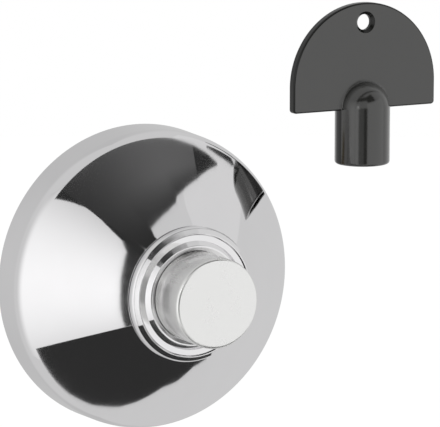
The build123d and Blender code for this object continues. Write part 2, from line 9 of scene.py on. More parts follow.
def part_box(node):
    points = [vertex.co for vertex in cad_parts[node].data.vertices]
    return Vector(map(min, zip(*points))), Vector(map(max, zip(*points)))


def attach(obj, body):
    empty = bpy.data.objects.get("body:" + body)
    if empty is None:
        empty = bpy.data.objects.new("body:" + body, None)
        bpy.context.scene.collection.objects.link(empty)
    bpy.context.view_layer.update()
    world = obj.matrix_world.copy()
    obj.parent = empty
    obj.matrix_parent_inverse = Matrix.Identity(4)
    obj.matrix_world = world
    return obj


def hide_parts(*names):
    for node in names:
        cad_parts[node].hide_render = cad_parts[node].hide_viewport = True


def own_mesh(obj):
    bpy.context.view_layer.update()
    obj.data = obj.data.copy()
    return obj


bl_info = {
    "name": "Concealed mixer valve",
    "version": (1, 0, 0),
    "blender": (4, 5, 0),
    "location": "3D View > Sidebar > Mixer valve",
    "description": "Dresses a concealed mixer valve and its key in chrome, plastic and brass",
    "category": "Add Mesh",
}

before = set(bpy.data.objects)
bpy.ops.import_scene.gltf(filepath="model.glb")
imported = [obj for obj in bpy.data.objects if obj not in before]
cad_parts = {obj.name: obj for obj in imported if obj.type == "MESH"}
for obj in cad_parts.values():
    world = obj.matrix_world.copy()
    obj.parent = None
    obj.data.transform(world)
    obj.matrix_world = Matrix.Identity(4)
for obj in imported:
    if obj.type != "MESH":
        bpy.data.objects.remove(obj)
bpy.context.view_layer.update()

# The wall is the plane y = 0, the valve's axis is the Y axis, the user stands at -Y and +Z is up.
# "Out" is a distance from the wall towards the user. Sizes are in metres.
MM = 0.001
WHITE = (1, 1, 1)
# Stainless steel: its roughness, and the distance between the tool's rings on it
STEEL = {"roughness": 0.24, "pitch": 0.08 * MM}


def turned_size(lowest, highest):
    """A turned node's radius, and how far out its back and its front lie."""
    return highest.x, -highest.y, -lowest.y


PLATE_RADIUS, _, CONE_TOP = turned_size(*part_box("escutcheon"))
COLLAR_RADIUS, COLLAR_BACK, COLLAR_FRONT = turned_size(*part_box("collar_ring"))
SEAT_RADIUS, SEAT_BACK, LIP_FRONT = turned_size(*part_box("seat_ring"))
CAP_RADIUS, CAP_BACK, CAP_FRONT = turned_size(*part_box("cover_cap"))
KEY_LOW, KEY_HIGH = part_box("key")
KEY_X = (KEY_LOW.x + KEY_HIGH.x) / 2
KEY_Y = (KEY_LOW.y + KEY_HIGH.y) / 2
BOW_RADIUS = (KEY_HIGH.x - KEY_LOW.x) / 2
STEM_RADIUS = (KEY_HIGH.y - KEY_LOW.y) / 2

# Points round a turned piece, round a spring's wire and along each of its turns
TURNS, WIRE_SIDES, COIL_STEPS = 360, 12, 48
# Angles of a circle and of a quarter circle
CIRCLE = np.linspace(0, 2 * np.pi, TURNS, endpoint=False)
QUARTER = np.linspace(0, np.pi / 2, 9)
# Points of the key's bow along its half circle, round each foot and along the sole between them,
# and rows of its grid between the ring hole and the rim
BOW_STEPS, FOOT_STEPS, SOLE_STEPS, FIELD_ROWS = 220, 12, 60, 7
# The key's stem: points along half its dome, their first angle, and points round its end's edge
DOME_STEPS, DOME_START, STEM_EDGE_STEPS = 40, 89, 10
# How far past a rounding a point keeps the flat beside it shading flat: as a share of the rounding
# and at most as a share of the side, and on the key's bow, stem and dome
HOLD_BY_ROUNDING, HOLD_BY_SIDE = 0.12, 0.2
BOW_HOLD, STEM_HOLD, DOME_HOLD = 0.12 * MM, 0.15 * MM, 6 * MM
# Chamfer of the key's ring hole: shares of its size at which the grid has rows
CHAMFER_SHARES = (0, 0.08, 0.92, 1)
# Chamfer of the key's socket, in mm: how far outside the flats and how far up each row lies
SOCKET_CHAMFER = ((0.6, 0), (0.5, 0), (0.1, 0.4), (0, 0.5), (0, 0.7))
# The hollow between stem and bow: its angles in degrees, its points, the degrees that it takes to
# come up to its full size, its least radius, and how far its hidden corners reach into the key
HOLLOW_ENDS, HOLLOW_STEPS, HOLLOW_FADE = (-2, 182), 93, 6
HOLLOW_LEAST, HOLLOW_ROOT = 0.02 * MM, 0.6 * MM


def number(name, description, default, **limits):
    """A number that a user may change."""
    return FloatProperty(name=name, description=description, default=default, **limits)


def length(name, description, default):
    """A size that a user may change, in metres, with its default in mm."""
    return number(name, description, default * MM, unit="LENGTH", precision=5)


def share(name, description, default):
    """A number from 0 to 1 that a user may change."""
    return number(name, description, default, min=0, max=1, subtype="FACTOR")


def colour(name, description, default):
    """A colour that a user may change, in linear light."""
    return FloatVectorProperty(
        name=name, description=description, default=default, min=0, max=1, size=3, subtype="COLOR"
    )


class PlateSettings(bpy.types.PropertyGroup):
    """Sizes of the bell shaped wall plate."""

    wall: length("Wall", "Thickness of the sheet", 1.2)
    band_height: length("Band height", "Height of the upright band at the wall", 19.5)
    band_draft: length("Band draft", "How far the band leans in over its height", 0.8)
    shoulder: length("Shoulder", "Rounding between the band and the cone", 8.0)
    mouth: length("Mouth", "Radius of the hole under the collar", 23.05)
    edge: length("Edge", "Rounding of the sheet's edges", 0.3)


class CollarSettings(bpy.types.PropertyGroup):
    """Sizes of the collar and of the bright ring inside it."""

    bore: length("Bore", "Radius of the threaded bore", 22.05)
    wall: length("Wall", "Thickness of the collar's outer wall", 3.2)
    edge: length("Edge", "Rounding of the collar's outer edge", 2.4)
    bevel: length("Bevel", "How far the bevel of the collar's front reaches down its side", 2.84)
    flat_drop: length("Flat", "How far the ring's flat lies below its lip", 1.95)
    rise: length("Rise", "Radius at which the ring's flat begins to rise to its lip", 26.5)
    lip: length("Lip", "Radius at which the rise ends", 24.3)
    lip_inner: length("Lip inside", "Radius at which the lip begins to fall towards the cap", 23.6)
    lip_slope: length("Lip slope", "How far the lip falls towards the cap", 1.0)
    seat_bore: length("Ring bore", "Radius of the hole round the cap", 21.95)


class CapSettings(bpy.types.PropertyGroup):
    """Sizes of the smooth cap."""

    wall: length("Wall", "Thickness of the cap's side", 1.75)
    face: length("Face", "Thickness of the cap's face", 2.0)
    edge: length("Edge", "Rounding of the cap's front edge", 1.6)


class KeySettings(bpy.types.PropertyGroup):
    """Sizes of the loose key."""

    bow_height: length("Bow thickness", "Thickness of the flat bow", 5.0)
    skirt: length("Skirt", "Straight part below the half round", 12.5)
    corner: length("Corner", "Rounding of the bow's two feet", 1.8)
    edge: length("Edge", "Rounding of the bow's rim", 1.0)
    ring_hole: length("Ring hole", "Radius of the ring hole", 4.0)
    ring_rise: length("Ring rise", "Height of the ring hole over the half round's centre", 31.5)
    ring_chamfer: length("Ring chamfer", "Chamfer of the ring hole", 1.5)
    stem_edge: length("Stem edge", "Rounding of the stem's end", 1.5)
    dome_rise: length("Dome rise", "Height of the dome's centre over the bow's foot", 0.5)
    socket_flats: length("Socket", "Distance across the flats of the socket", 17.3)
    socket_depth: length("Socket depth", "Depth of the socket", 23.5)
    fillet: length("Fillet", "Rounding between the stem and the bow", 0.9)


class SpringSettings(bpy.types.PropertyGroup):
    """Sizes of the springs in the two check valves."""

    wire: length("Wire", "Radius of the wire", 0.3)
    turns: number("Turns", "Number of turns", 5.0, min=1)


class FinishSettings(bpy.types.PropertyGroup):
    """Colours and gloss of the finishes."""

    chrome: colour("Chrome", "Colour of the bright chrome", (0.867, 0.861, 0.870))
    chrome_roughness: share("Chrome roughness", "Roughness of the bright chrome", 0.035)
    collar_roughness: share("Collar roughness", "Roughness of the collar's chrome", 0.055)
    cap: colour("Cap", "Colour of the cap's satin chrome", (0.88, 0.88, 0.87))
    cap_roughness: share("Cap roughness", "Roughness of the cap's satin chrome", 0.25)
    key: colour("Key", "Colour of the key's plastic", (0.018, 0.018, 0.0165))
    key_roughness: share("Key roughness", "Roughness of the key's plastic", 0.16)
    cast_brass: colour("Cast brass", "Colour of the cast brass", (0.60, 0.43, 0.17))
    turned_brass: colour("Turned brass", "Colour of the turned brass", (0.72, 0.52, 0.20))
    stainless_steel: colour("Steel", "Colour of the stainless steel", (0.56, 0.56, 0.57))
    black_rubber: colour("Rubber", "Colour of the rubber seals", (0.018, 0.018, 0.018))
    vulcanised_fibre: colour("Fibre", "Colour of the fibre washer", (0.30, 0.07, 0.04))
    white_acetal: colour("Acetal", "Colour of the white acetal", (0.80, 0.80, 0.76))
    grey_plastic: colour("Housing", "Colour of the cartridge's housing", (0.22, 0.23, 0.25))
    stop_plastic: colour("Stop", "Colour of the angle stop", (0.55, 0.09, 0.02))
    ceramic: colour("Ceramic", "Colour of the ceramic discs", (0.80, 0.79, 0.75))


class StageSettings(bpy.types.PropertyGroup):
    """Sizes and levels of the stage."""

    floor_drop: length("Floor", "Distance of the floor below the valve's axis", 600)
    floor_glow: share("Floor glow", "What the floor lacks to look white", 0.48)
    dome: length("Dome", "Distance of the reflected cards from the valve", 500)
    daylight: share("Daylight", "Level of the light from all round", 0.65)
    lamp: number("Lamp", "Power of the soft lamp", 10.0, min=0, unit="POWER")
    paper: share("Paper", "Level of the grey paper that the chrome mirrors", 0.66)
    soft_box: number("Soft box", "Level of the soft box at the left", 1.1, min=0)


# Shapes. Every surface is a grid of points that is worked out as whole arrays.


def together(*parts):
    """Points or faces from their parts, each an array or one number for all."""
    return np.stack(np.broadcast_arrays(*parts), axis=-1)


def put_mesh(name, points, faces):
    """A mesh object at the origin, smooth shaded."""
    mesh = bpy.data.meshes.new(name)
    mesh.from_pydata(points.reshape(-1, 3).tolist(), [], faces)
    mesh.polygons.foreach_set("use_smooth", np.ones(len(mesh.polygons), bool))
    mesh.validate()
    mesh.update()
    piece = bpy.data.objects.new(name, mesh)
    bpy.context.scene.collection.objects.link(piece)
    return piece


def grid(rows, columns, open_rows=0, open_columns=0):
    """Quads of a grid whose point (i, j) has the number i * columns + j.

    It is closed both ways, or left open after the last row, the last column or both.
    """
    i, j = np.meshgrid(
        np.arange(rows - open_rows), np.arange(columns - open_columns), indexing="ij"
    )
    down, right = (i + 1) % rows, (j + 1) % columns
    here, below = i * columns, down * columns
    return together(here + j, below + j, below + right, here + right).reshape(-1, 4).tolist()


def smooth(low, high, value):
    """From 0 at low to 1 at high, as 3 t^2 - 2 t^3."""
    share = np.clip((value - low) / (high - low), 0, 1)
    return share * share * (3 - 2 * share)


def rounded(corners, steps=10):
    """A closed outline with rounded corners, as an array of points.

    A corner is (x, y, rounding). The arc touches both sides at rounding / tan(half the corner's
    angle) from the corner, and its centre lies on the bisector at rounding / sin(half the angle).
    A point is added just before and just after each arc, so that the flats shade flat.
    """
    places = np.array([corner[:2] for corner in corners], float)
    radii = np.array([corner[2] for corner in corners], float)
    back = np.roll(places, 1, axis=0) - places
    on = np.roll(places, -1, axis=0) - places
    back_run = np.linalg.norm(back, axis=1, keepdims=True)
    on_run = np.linalg.norm(on, axis=1, keepdims=True)
    back, on = back / back_run, on / on_run
    half = np.arccos(np.clip((back * on).sum(1), -1, 1)) / 2
    reach = (radii / np.tan(half))[:, None]
    start, end = places + back * reach, places + on * reach
    bisector = (back + on) / np.linalg.norm(back + on, axis=1, keepdims=True)
    centre = places + bisector * (radii / np.sin(half))[:, None]
    first, last = start - centre, end - centre
    turn = np.arctan2(first[:, 0] * last[:, 1] - first[:, 1] * last[:, 0], (first * last).sum(1))
    angle = turn[:, None] * np.linspace(0, 1, steps + 1)
    cos, sin = np.cos(angle), np.sin(angle)
    across, along = first[:, :1], first[:, 1:]
    bend = centre[:, None] + together(across * cos - along * sin, across * sin + along * cos)
    hold = HOLD_BY_ROUNDING * radii[:, None]
    before = (start + back * np.minimum(hold, HOLD_BY_SIDE * back_run))[:, None]
    after = (end + on * np.minimum(hold, HOLD_BY_SIDE * on_run))[:, None]
    return np.concatenate([before, bend, after], axis=1).reshape(-1, 2)


def about_axis(radius, out, angle):
    """Points about the valve's axis: x = r cos a, y = -out, z = r sin a."""
    return together(radius * np.cos(angle), -out, radius * np.sin(angle))


def turned(name, outline):
    """A closed outline of (radius, out) turned about the valve's axis."""
    points = about_axis(outline[:, :1], outline[:, 1:], CIRCLE)
    return put_mesh(name, points, grid(len(outline), TURNS))


def closed_turn(name, points, rows, flip=False):
    """A grid of rows round an axis, closed at the first and the last row by the last two points."""
    around = np.arange(TURNS)
    onward = (around + 1) % TURNS
    first, end = rows * TURNS, (rows - 1) * TURNS
    top = together(first, around, onward)
    bottom = together(first + 1, end + onward, end + around)
    faces = grid(rows, TURNS, open_rows=1) + top.tolist() + bottom.tolist()
    return put_mesh(name, points, [face[::-1] for face in faces] if flip else faces)


def turned_cup(name, outline):
    """An outline of (radius, out) that starts and ends on the valve's axis, turned about it."""
    side = about_axis(outline[1:-1, :1], outline[1:-1, 1:], CIRCLE).reshape(-1, 3)
    poles = np.array([[0, -outline[0, 1], 0], [0, -outline[-1, 1], 0]])
    return closed_turn(name, np.concatenate([side, poles]), len(outline) - 2)


def coil(name, lowest, highest, sizes):
    """A spring along X between two corners: a circle of wire carried along a helix.

    The helix is (x, y + r cos t, z + r sin t), and its tangent is (rise, -r sin t, r cos t). The
    section is spanned by the radial direction and by the cross product of the tangent and that
    direction.
    """
    around = np.linspace(0, 2 * np.pi, WIRE_SIDES, endpoint=False)
    turn = np.linspace(0, 2 * np.pi * sizes.turns, int(COIL_STEPS * sizes.turns))[:, None]
    middle = (lowest + highest) / 2
    radius = (highest.y - lowest.y) / 2 - sizes.wire
    run = highest.x - lowest.x - 2 * sizes.wire
    along = lowest.x + sizes.wire + run * turn / turn[-1]
    cos, sin = np.cos(turn), np.sin(turn)
    radial = together(0, cos, sin)
    tangent = together(run / turn[-1], -radius * sin, radius * cos)
    tangent = tangent / np.linalg.norm(tangent, axis=-1, keepdims=True)
    across = np.cross(tangent, radial)
    centre = together(along, middle.y, middle.z) + radius * radial
    section = np.cos(around)[:, None] * radial + np.sin(around)[:, None] * across
    rows = len(turn)
    first = list(range(WIRE_SIDES))
    last = [(rows - 1) * WIRE_SIDES + index for index in first]
    faces = [quad[::-1] for quad in grid(rows, WIRE_SIDES, open_rows=1)] + [first, last[::-1]]
    return put_mesh(name, centre + sizes.wire * section, faces)


# Finishes


def both_ways(operation):
    """An operator of a Level for one kind of maths, and its reflected form."""

    def forward(self, other):
        return self._maths(operation, self, other)

    def reflected(self, other):
        return self._maths(operation, other, self)

    return forward, reflected


class Level:
    """A number that a shader works out. Arithmetic on it adds the shader's own maths.

    Two numbers with | between them give the greater one.
    """

    def __init__(self, shader, socket):
        self.shader = shader
        self.socket = socket

    def _maths(self, operation, first, second):
        return self.shader.node("ShaderNodeMath", {"operation": operation}, {0: first, 1: second})

    __add__, __radd__ = both_ways("ADD")
    __sub__, __rsub__ = both_ways("SUBTRACT")
    __mul__, __rmul__ = both_ways("MULTIPLY")
    __pow__, __rpow__ = both_ways("POWER")
    __or__, __ror__ = both_ways("MAXIMUM")


class Shader:
    """The node tree of a material or of the world, under construction."""

    def __init__(self, owner):
        self.owner = owner
        owner.use_nodes = True
        self.tree = owner.node_tree
        self.tree.nodes.clear()

    def node(self, kind, settings=None, values=None, output=0):
        """Add a node: its settings first, then the values or links of its sockets."""
        made = self.tree.nodes.new(kind)
        for name, value in (settings or {}).items():
            setattr(made, name, value)
        for name, value in (values or {}).items():
            socket = made.inputs[name]
            if isinstance(value, Level):
                self.tree.links.new(value.socket, socket)
            elif socket.type == "RGBA" and len(value) == 3:
                socket.default_value = (*value, 1)
            else:
                socket.default_value = value
        return Level(self, made.outputs[output]) if made.outputs else None

    def place(self, centre=(0, 0, 0), scale=(1, 1, 1)):
        """Object coordinates, centred and scaled for a pattern."""
        position = self.node("ShaderNodeTexCoord", output="Object")
        values = {"Vector": position, "Location": centre, "Scale": scale}
        return self.node("ShaderNodeMapping", {"vector_type": "TEXTURE"}, values)

    def noise(self, place, spacing, detail=2.0, roughness=0.5):
        """Even noise from 0 to 1 whose blotches lie that far apart."""
        values = {"Vector": place, "Scale": 1 / spacing, "Detail": detail, "Roughness": roughness}
        return self.node("ShaderNodeTexNoise", values=values)

    def moulding(self, grain):
        """Flow marks and a fine grain, as moulded plastic has them."""
        place = self.place()
        return self.noise(place, 9 * MM, detail=3.0), self.noise(place, grain, roughness=0.6)

    def between(self, low, high, factor):
        """The colour a share of the way from low to high."""
        values = {0: factor, 6: low, 7: high}
        return self.node("ShaderNodeMix", {"data_type": "RGBA"}, values, output=2)

    def bump(self, height, depth, strength):
        """Normals of a relief of that depth."""
        values = {"Strength": strength, "Distance": depth, "Height": height}
        return self.node("ShaderNodeBump", values=values, output="Normal")

    def seen(self):
        """1 for rays from the camera, from mirrors and through glass, and 0 for the rest."""
        rays = ("Is Camera Ray", "Is Glossy Ray", "Is Transmission Ray")
        camera, mirror, glass = (self.node("ShaderNodeLightPath", output=ray) for ray in rays)
        return camera | mirror | glass

    def surface(self, values):
        """Close the tree with a principled shader, and give what it draws."""
        return self.close(self.node("ShaderNodeBsdfPrincipled", values=values))

    def close(self, shade, output="ShaderNodeOutputMaterial"):
        """Close the tree with a shader, and give what it draws."""
        self.node(output, values={"Surface": shade})
        return self.owner


def new_finish(name):
    """The shader of a new material."""
    return Shader(bpy.data.materials.new(name))


def scaled(tone, factor):
    """A colour made lighter or darker."""
    return tuple(min(1.0, part * factor) for part in tone)


def uneven(middle, *patterns):
    """A level that each pattern, given with its reach, shifts to both sides of its middle."""
    level = middle
    for reach, pattern in patterns:
        level = level + reach * (pattern - 0.5)
    return level


def bright_chrome(name, tone, roughness):
    """Polished chrome plate: a mirror with faint polishing haze and a trace of unevenness."""
    shader = new_finish(name)
    place = shader.place()
    haze = shader.noise(place, 14 * MM, detail=3.0, roughness=0.55)
    wipe = shader.noise(shader.place(scale=(4 * MM, 60 * MM, 4 * MM)), 1.0)
    unevenness = shader.noise(place, 22 * MM, detail=1.0)
    return shader.surface({
        "Base Color": shader.between(scaled(tone, 0.965), tone, haze),
        "Metallic": 1.0,
        "Roughness": roughness * (0.55 + 0.6 * haze + 0.35 * wipe),
        "Normal": shader.bump(unevenness, depth=0.02 * MM, strength=0.5),
    })


def moulded_plastic(name, tone, roughness, grain=0.3 * MM, depth=0.006 * MM, patch=0.03):
    """Moulded plastic: a fine even grain, slight flow marks and a soft sheen."""
    shader = new_finish(name)
    flow, fine = shader.moulding(grain)
    return shader.surface({
        "Base Color": shader.between(scaled(tone, 1 - patch), scaled(tone, 1 + patch), flow),
        "Roughness": uneven(roughness, (0.10, flow), (0.08, fine)),
        "Normal": shader.bump(fine, depth, strength=0.6),
    })


def key_plastic(tone, roughness, face):
    """The key's plastic: polished faces, and a duller rim whose colour is darkened as painted shade
    along the key's edges.

    The rim is what lies nearer to the key's middle plane than its faces do. The coat, and the
    colour out of the painted shade, rise with the square of that distance, taken as a share of the
    faces' own.
    """
    shader = new_finish("key_plastic")
    flow, fine = shader.moulding(0.25 * MM)
    from_middle = shader.place((0, KEY_Y, 0), scale=(face, face, face))
    depth = shader.node("ShaderNodeSeparateXYZ", values={"Vector": from_middle}, output="Y")
    reach = {"Value": depth * depth, "From Min": 0.96, "From Max": 0.999}
    # 1 on the polished faces and 0 at the rim: it sets the coat, and lifts the colour out of the
    #                                           painted shade at the rim
    polish_and_rim_shade = shader.node("ShaderNodeMapRange", values=reach)
    tint = shader.between(scaled(tone, 0.88), scaled(tone, 1.12), flow)
    return shader.surface({
        # Painted shade: the rim's colour is darkened to three tenths along the key's edges
        "Base Color": shader.between(scaled(tone, 0.3), tint, polish_and_rim_shade),
        "Roughness": uneven(roughness, (0.10, flow), (0.08, fine)),
        "Normal": shader.bump(fine, depth=0.008 * MM, strength=0.6),
        "Specular IOR Level": 0.4,
        "Coat Weight": polish_and_rim_shade,
        "Coat Roughness": roughness,
        "Coat IOR": 1.62,
    })


def machined_metal(name, tone, roughness, pitch):
    """Turned metal: fine rings round the valve's axis over faint stains."""
    shader = new_finish(name)
    place = shader.place()
    stain = shader.noise(place, 8 * MM, detail=4.0, roughness=0.6)
    grooves = shader.noise(shader.place(scale=(30 * pitch, pitch, 30 * pitch)), 1.0)
    return shader.surface({
        "Base Color": shader.between(scaled(tone, 0.82), scaled(tone, 1.06), stain),
        "Metallic": 1.0,
        "Roughness": uneven(roughness, (0.14, stain), (0.10, grooves)),
        "Normal": shader.bump(grooves, depth=0.006 * MM, strength=0.5),
    })


def cast_metal(name, tone):
    """Sand cast brass: a pebbled skin with darker hollows, brighter high spots and brown stains."""
    shader = new_finish(name)
    place = shader.place()
    skin = shader.noise(place, 1.4 * MM, detail=5.0, roughness=0.62)
    stain = shader.noise(place, 16 * MM, detail=4.0, roughness=0.6)
    clean = shader.between(scaled(tone, 0.55), scaled(tone, 1.18), 0.15 + 0.9 * skin)
    dirt = shader.between(clean, scaled(tone, 0.5), 1.6 * stain**3.0)
    return shader.surface({
        "Base Color": dirt,
        "Metallic": 0.96,
        "Roughness": uneven(0.40 + 0.22 * (1 - skin), (0.1, stain)),
        "Normal": shader.bump(skin, depth=0.12 * MM, strength=0.8),
    })


def soft_rubber(name, tone):
    """Black rubber: matt, with a dusty bloom."""
    shader = new_finish(name)
    place = shader.place()
    bloom = shader.noise(place, 5 * MM, detail=4.0, roughness=0.65)
    fine = shader.noise(place, 0.35 * MM)
    return shader.surface({
        "Base Color": shader.between(tone, scaled(tone, 2.4), bloom**2.0),
        "Roughness": 0.62 + 0.2 * bloom,
        "Normal": shader.bump(fine, depth=0.01 * MM, strength=0.7),
    })


def dress(material, *nodes):
    """Give CAD nodes a finish."""
    for node in nodes:
        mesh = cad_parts[node].data
        mesh.materials.clear()
        mesh.materials.append(material)


def finished(piece, material, body, slot, *nodes):
    """Give a new piece its finish and its body, and hide the CAD nodes that it stands for. The slot
    is not used.
    """
    piece.data.materials.append(material)
    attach(piece, body)
    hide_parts(*nodes)


class Dresser(bpy.types.Operator):
    """Common part of the operators below."""

    bl_options = {"REGISTER", "UNDO"}


def cone_slope(sizes):
    """How far the plate's cone runs in, how far it climbs, and its length along the slope."""
    run = PLATE_RADIUS - sizes.band_draft - COLLAR_RADIUS
    climb = CONE_TOP - sizes.band_height
    return run, climb, np.hypot(run, climb)


class MIXER_OT_plate(Dresser):
    """Make the bell shaped wall plate: band, rounded shoulder and straight cone"""

    bl_idname = "mixer.plate"
    bl_label = "Wall plate"

    def execute(self, context):
        sizes = context.scene.mixer_plate
        run, climb, slope = cone_slope(sizes)
        # Inside the sheet the cone begins this much nearer to the wall and ends this much
        # nearer to the axis
        inset = sizes.wall * (slope - run) / climb
        top_radius = PLATE_RADIUS - sizes.band_draft
        edge = sizes.edge
        outline = rounded([
            (PLATE_RADIUS, 0, edge),
            (top_radius, sizes.band_height, sizes.shoulder),
            (COLLAR_RADIUS, CONE_TOP, edge),
            (sizes.mouth, CONE_TOP, edge),
            (sizes.mouth, CONE_TOP - sizes.wall, edge),
            (COLLAR_RADIUS - inset, CONE_TOP - sizes.wall, edge),
            (top_radius - sizes.wall, sizes.band_height - inset, sizes.shoulder - sizes.wall),
            (PLATE_RADIUS - sizes.wall, 0, edge),
        ], steps=16)
        plate = turned("wall_plate", outline)
        tones = context.scene.mixer_finishes
        chrome = bright_chrome("plate_chrome", tones.chrome, tones.chrome_roughness)
        finished(plate, chrome, "valve", "plate_chrome", "escutcheon")
        return {"FINISHED"}


class MIXER_OT_collar(Dresser):
    """Make the collar and the bright ring with the lip inside it"""

    bl_idname = "mixer.collar"
    bl_label = "Collar"

    def execute(self, context):
        sizes = context.scene.mixer_collar
        tones = context.scene.mixer_finishes
        chrome = bright_chrome("collar_chrome", tones.chrome, tones.collar_roughness)
        recess = COLLAR_RADIUS - sizes.wall
        fine, foot = 0.15 * MM, 0.4 * MM
        outline = rounded([
            (sizes.bore, COLLAR_BACK, fine),
            (COLLAR_RADIUS, COLLAR_BACK, foot),
            (COLLAR_RADIUS, COLLAR_FRONT - sizes.bevel, sizes.edge),
            (recess, COLLAR_FRONT, 2 * fine),
            (recess, SEAT_BACK, fine),
            (sizes.bore, SEAT_BACK, fine),
        ])
        collar = turned("collar", outline)
        finished(collar, chrome, "valve", "collar_chrome", "collar_ring")
        outline = rounded([
            (sizes.seat_bore, SEAT_BACK, fine),
            (SEAT_RADIUS, SEAT_BACK, fine),
            (SEAT_RADIUS, LIP_FRONT - sizes.flat_drop, 2 * fine),
            (sizes.rise, LIP_FRONT - sizes.flat_drop, fine),
            (sizes.lip, LIP_FRONT, 4 * fine),
            (sizes.lip_inner, LIP_FRONT, 2 * fine),
            (sizes.seat_bore, LIP_FRONT - sizes.lip_slope, fine),
        ])
        ring = turned("bright_ring", outline)
        finished(ring, chrome, "valve", "collar_chrome", "seat_ring")
        return {"FINISHED"}


class MIXER_OT_cap(Dresser):
    """Make the smooth cap, a cup with a rounded front edge"""

    bl_idname = "mixer.cap"
    bl_label = "Cap"

    def execute(self, context):
        sizes = context.scene.mixer_cap
        tones = context.scene.mixer_finishes
        chrome = bright_chrome("cap_chrome", tones.cap, tones.cap_roughness)
        inner = CAP_RADIUS - sizes.wall
        inner_front = CAP_FRONT - sizes.face
        fine = 0.25 * MM
        # The faces run on past the axis, and are cut off there once the corners are rounded
        past_axis = -CAP_RADIUS / 4
        corners = rounded([
            (past_axis, CAP_FRONT, fine),
            (CAP_RADIUS, CAP_FRONT, sizes.edge),
            (CAP_RADIUS, CAP_BACK, fine),
            (inner, CAP_BACK, fine),
            (inner, inner_front, sizes.edge / 2),
            (past_axis, inner_front, fine),
        ], steps=14)
        side = corners[corners[:, 0] > 0]
        outline = np.concatenate([[[0, CAP_FRONT]], side, [[0, inner_front]]])
        cap = turned_cup("cap", outline)
        finished(cap, chrome, "cap", "cap_chrome", "cover_cap")
        return {"FINISHED"}


def arc(centre, radius, start, end, count):
    """Points of an arc, from one angle to another, in degrees."""
    angle = np.radians(np.linspace(start, end, count))
    return np.array(centre) + radius * together(np.cos(angle), np.sin(angle))


def bow_loop(sizes, inset):
    """The bow's outline, moved inwards: a half circle over a low strip with two rounded feet."""
    foot, low = BOW_RADIUS - sizes.corner, sizes.corner - sizes.skirt
    corner = sizes.corner - inset
    sole = np.linspace((-foot, low - corner), (foot, low - corner), SOLE_STEPS + 2)[1:-1]
    return np.concatenate([
        arc((0, 0), BOW_RADIUS - inset, 0, 180, BOW_STEPS),
        arc((-foot, low), corner, 180, 270, FOOT_STEPS),
        sole,
        arc((foot, low), corner, 270, 360, FOOT_STEPS),
    ])


def key_bow(sizes):
    """The flat bow, one grid closed both ways.

    It runs round the outline, and from the ring hole to the rim and back. Near the hole a row is a
    circle about its centre. Past it a row is the outline moved inwards. Between them points run
    straight, at even shares. The rim is a quarter circle on each face.
    """
    half, hole = sizes.bow_height / 2, np.array((0, sizes.ring_rise))
    spokes = bow_loop(sizes, 0) - hole
    spokes = spokes / np.linalg.norm(spokes, axis=1, keepdims=True)
    wall, chamfer = half - sizes.ring_chamfer, np.array(CHAMFER_SHARES) * sizes.ring_chamfer
    reach = np.concatenate([[0, 0], chamfer, [sizes.ring_chamfer + BOW_HOLD]]) + sizes.ring_hole
    depth = np.concatenate([[wall / 2, wall - BOW_HOLD], wall + chamfer, [half]])
    mouth = hole + reach[:, None, None] * spokes
    edge, flat_end = sizes.edge, sizes.edge + BOW_HOLD
    field = bow_loop(sizes, flat_end)
    shares = np.arange(1, FIELD_ROWS + 1)[:, None, None] / (FIELD_ROWS + 1)
    middle = mouth[-1] + shares * (field - mouth[-1])
    insets = np.concatenate([[flat_end], edge * (1 - np.sin(QUARTER)), [0]])
    rim = np.array([bow_loop(sizes, inset) for inset in insets])
    rim_depth = np.concatenate([[half], half - edge * (1 - np.cos(QUARTER)), [half - flat_end]])
    rows = np.concatenate([mouth, middle, rim])
    depth = np.concatenate([depth, np.full(len(middle), half), rim_depth])
    rows, depth = np.concatenate([rows, rows[::-1]]), np.concatenate([depth, -depth[::-1]])
    side = rows[..., 0] + KEY_X
    up = rows[..., 1] + KEY_HIGH.z - BOW_RADIUS
    points = together(side, KEY_Y - depth[:, None], up)
    return put_mesh("key_bow", points, [quad[::-1] for quad in grid(*side.shape)])


def dome_height(sizes):
    """Height of the middle of the dome at the stem's upper end."""
    return KEY_HIGH.z - BOW_RADIUS - sizes.skirt + sizes.dome_rise


def key_stem(sizes):
    """The stem with its domed top and its hexagonal socket, turned about an upright line.

    The outline is (radius, height). In the socket the radius is half the flats over the cosine of
    the angle from the middle of a flat. The socket's floor is closed over a ring at half its width.
    """
    dome, edge = dome_height(sizes), sizes.stem_edge
    top = arc((0, dome), STEM_RADIUS, DOME_START, 0, DOME_STEPS)
    side = [(STEM_RADIUS, dome - DOME_HOLD), (STEM_RADIUS, KEY_LOW.z + edge + STEM_HOLD)]
    foot = arc((STEM_RADIUS - edge, KEY_LOW.z + edge), edge, 0, -90, STEM_EDGE_STEPS)
    outer = np.repeat(np.concatenate([top, side, foot])[:, None], TURNS, axis=1)
    flat = sizes.socket_flats / 2 / np.cos(np.mod(CIRCLE, np.pi / 3) - np.pi / 6)
    rows = [(wide * MM, deep * MM) for wide, deep in SOCKET_CHAMFER]
    rows += [(0, sizes.socket_depth - STEM_HOLD), (0, sizes.socket_depth)]
    lead, climb = np.array(rows).T
    inner = together(flat + lead[:, None], KEY_LOW.z + climb[:, None])
    floor = inner[-1] * (0.5, 1)
    outline = np.concatenate([outer, inner, floor[None]])
    radius, height = outline[..., 0], outline[..., 1]
    side, depth = KEY_X + radius * np.cos(CIRCLE), KEY_Y + radius * np.sin(CIRCLE)
    points = together(side, depth, height).reshape(-1, 3)
    poles = [(KEY_X, KEY_Y, dome + STEM_RADIUS), (KEY_X, KEY_Y, KEY_LOW.z + climb[-1])]
    return closed_turn("key_stem", np.concatenate([points, poles]), len(outline), flip=True)


